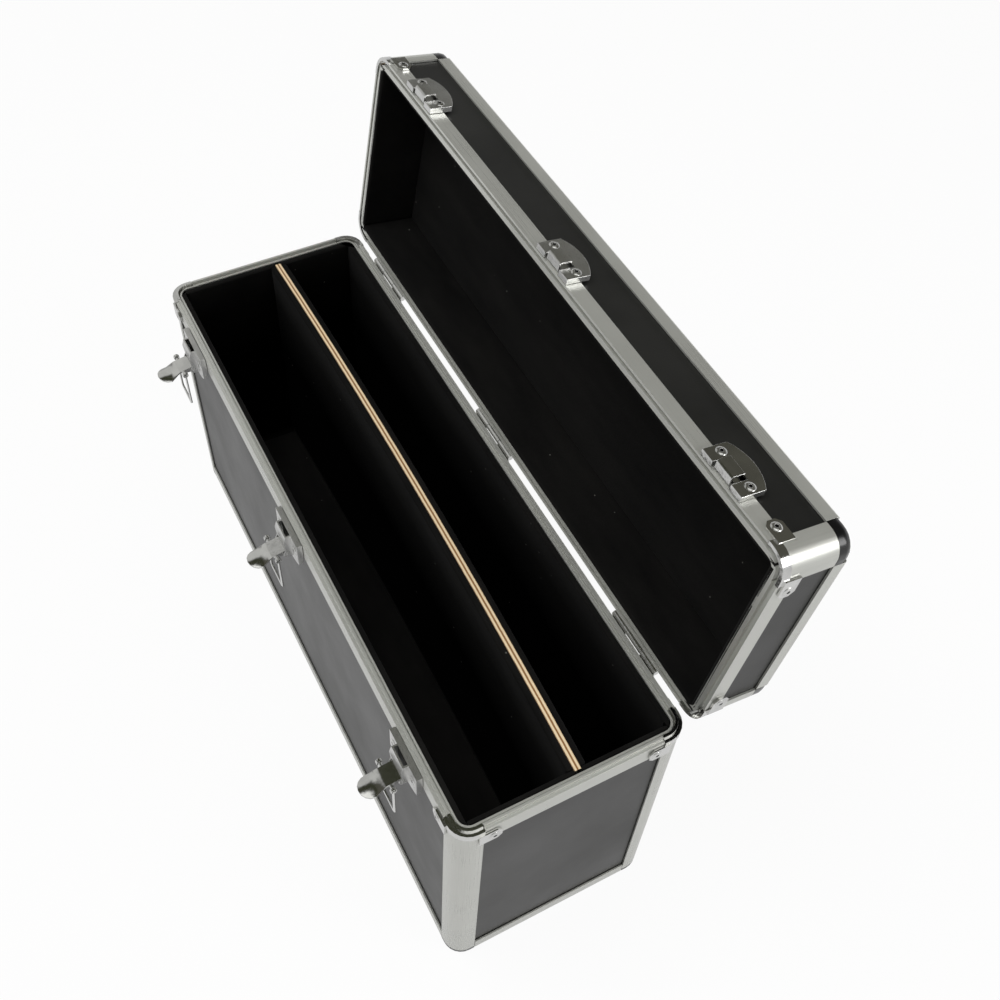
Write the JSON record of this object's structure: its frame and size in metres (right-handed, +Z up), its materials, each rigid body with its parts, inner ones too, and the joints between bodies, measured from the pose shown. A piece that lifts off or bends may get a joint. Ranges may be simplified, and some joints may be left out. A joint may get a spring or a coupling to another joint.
{
  "type": "microphone case",
  "caption": "Long metal-framed carrying case with a hinged lid, toggle latches and a divided, lined inside, shown open.",
  "frame": {"origin": "middle of the bottom board's underside", "axes": "+X along the case, +Y towards the hinges, +Z up out of the open base; the latches face -Y"},
  "size_m": [0.5354, 0.284, 0.3995],
  "materials": {
    "board": "black laminated board, satin",
    "alu": "satin anodised",
    "chrome": "bright nickel-chrome plate",
    "lining": "matt black foam-backed fabric",
    "ply": "raw birch plywood edge",
    "cap": "gloss black",
    "grip": "black moulded"
  },
  "bodies": {
    "base": {"base_bottom_board": "board", "base_front_board": "board", "base_back_board": "board", "base_near_board": "board", "base_far_board": "board", "base_rim": "alu", "base_bottom_edge": "alu", "base_lining": "lining", "divider_board": "ply", "divider_sleeve": "lining", "base_post_near_back": "alu", "base_post_far_back": "alu", "base_post_far_front": "alu", "base_post_near_front": "alu", "base_rim_corner_near_back": "chrome", "base_rim_corner_far_back": "chrome", "base_rim_corner_far_front": "chrome", "base_rim_corner_near_front": "chrome", "base_foot_near_back": "cap", "base_foot_far_back": "cap", "base_foot_far_front": "cap", "base_foot_near_front": "cap", "hinge_base_far": "chrome", "hinge_base_middle": "chrome", "hinge_base_near": "chrome", "latch_plate_far": "chrome", "latch_plate_middle": "chrome", "latch_plate_near": "chrome"},
    "lid": {"lid_top_board": "board", "lid_side_band": "board", "lid_rim": "alu", "lid_top_edge": "alu", "lid_lining": "lining", "handle_plate": "chrome", "lid_post_near_back": "alu", "lid_post_far_back": "alu", "lid_post_far_front": "alu", "lid_post_near_front": "alu", "lid_rim_corner_near_back": "chrome", "lid_rim_corner_far_back": "chrome", "lid_rim_corner_far_front": "chrome", "lid_rim_corner_near_front": "chrome", "lid_cap_near_back": "cap", "lid_cap_far_back": "cap", "lid_cap_far_front": "cap", "lid_cap_near_front": "cap", "hinge_lid_far": "chrome", "hinge_lid_middle": "chrome", "hinge_lid_near": "chrome", "keeper_far": "chrome", "keeper_middle": "chrome", "keeper_near": "chrome"},
    "handle": {"handle_grip": "grip"},
    "lever_far": {"latch_lever_far": "chrome"},
    "claw_far": {"latch_claw_far": "chrome"},
    "lever_middle": {"latch_lever_middle": "chrome"},
    "claw_middle": {"latch_claw_middle": "chrome"},
    "lever_near": {"latch_lever_near": "chrome"},
    "claw_near": {"latch_claw_near": "chrome"}
  },
  "joints": [
    {"name": "lid_hinge", "type": "hinge", "parent": "base", "child": "lid", "pos_m": [0, 0.0857, 0.2234], "axis": [1, 0, 0], "range_deg": [0, 99.07]},
    {"name": "handle_fold", "type": "hinge", "parent": "lid", "child": "handle", "pos_m": [0, 0.15955, 0.2984], "axis": [1, 0, 0], "range_deg": [-9.07, 170.93]},
    {"name": "lever_far_turn", "type": "hinge", "parent": "base", "child": "lever_far", "pos_m": [-0.196, -0.091, 0.2035], "axis": [1, 0, 0], "range_deg": [0, 90]},
    {"name": "claw_far_swing", "type": "hinge", "parent": "lever_far", "child": "claw_far", "pos_m": [-0.196, -0.0995, 0.2035], "axis": [1, 0, 0], "range_deg": [-274.2, 0]},
    {"name": "lever_middle_turn", "type": "hinge", "parent": "base", "child": "lever_middle", "pos_m": [0.0035, -0.091, 0.2035], "axis": [1, 0, 0], "range_deg": [0, 90]},
    {"name": "claw_middle_swing", "type": "hinge", "parent": "lever_middle", "child": "claw_middle", "pos_m": [0.0035, -0.0995, 0.2035], "axis": [1, 0, 0], "range_deg": [-274.2, 0]},
    {"name": "lever_near_turn", "type": "hinge", "parent": "base", "child": "lever_near", "pos_m": [0.198, -0.091, 0.2035], "axis": [1, 0, 0], "range_deg": [0, 90]},
    {"name": "claw_near_swing", "type": "hinge", "parent": "lever_near", "child": "claw_near", "pos_m": [0.198, -0.0995, 0.2035], "axis": [1, 0, 0], "range_deg": [-274.2, 0]}
  ],
  "couplings": [
    {"joint": "claw_far_swing", "follows": "lever_far_turn", "ratio": -3.0466},
    {"joint": "claw_middle_swing", "follows": "lever_middle_turn", "ratio": -3.0466},
    {"joint": "claw_near_swing", "follows": "lever_near_turn", "ratio": -3.0466}
  ]
}
